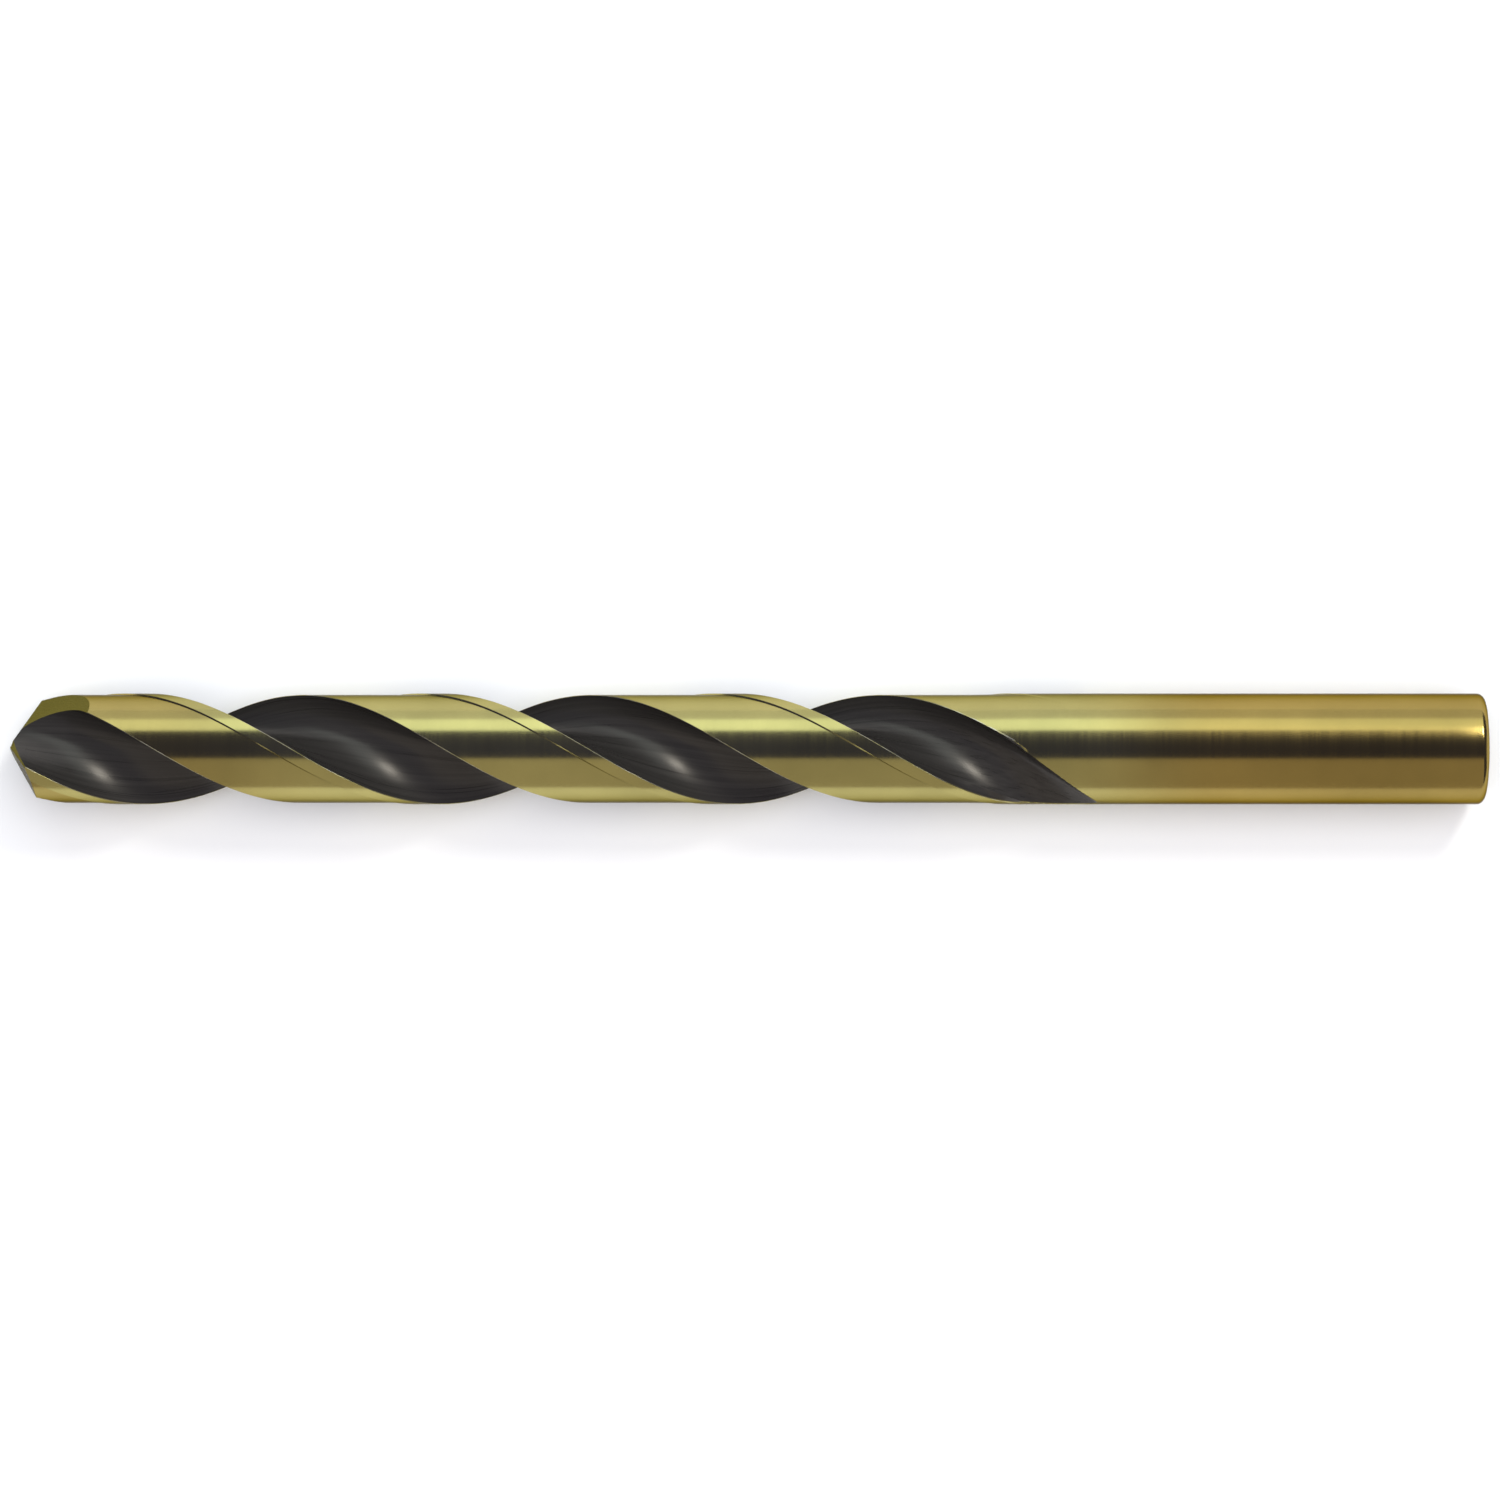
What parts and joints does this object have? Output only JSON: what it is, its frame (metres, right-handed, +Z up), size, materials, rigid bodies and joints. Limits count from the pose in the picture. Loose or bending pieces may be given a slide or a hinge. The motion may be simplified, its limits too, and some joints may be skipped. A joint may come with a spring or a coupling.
{
  "type": "twist drill bit",
  "caption": "Jobber-length twist drill bit in black and gold oxide high-speed steel, with right-hand helical flutes, a split point and a plain round shank",
  "frame": {"origin": "centre of the shank's flat back end", "axes": "+X along the drill's axis from the point to the shank's back end, +Z up, as the drill lies on a bench"},
  "size_m": [0.133, 0.01, 0.01],
  "materials": {
    "oxidised_high_speed_steel": "gold oxide film on ground high-speed steel, with black oxide in the flutes",
    "oxidised_shank_steel": "slightly browner gold oxide film on a ground alloy steel shank"
  },
  "bodies": {
    "root": {"fluted_body": "oxidised_high_speed_steel", "shank": "oxidised_shank_steel"}
  },
  "joints": []
}
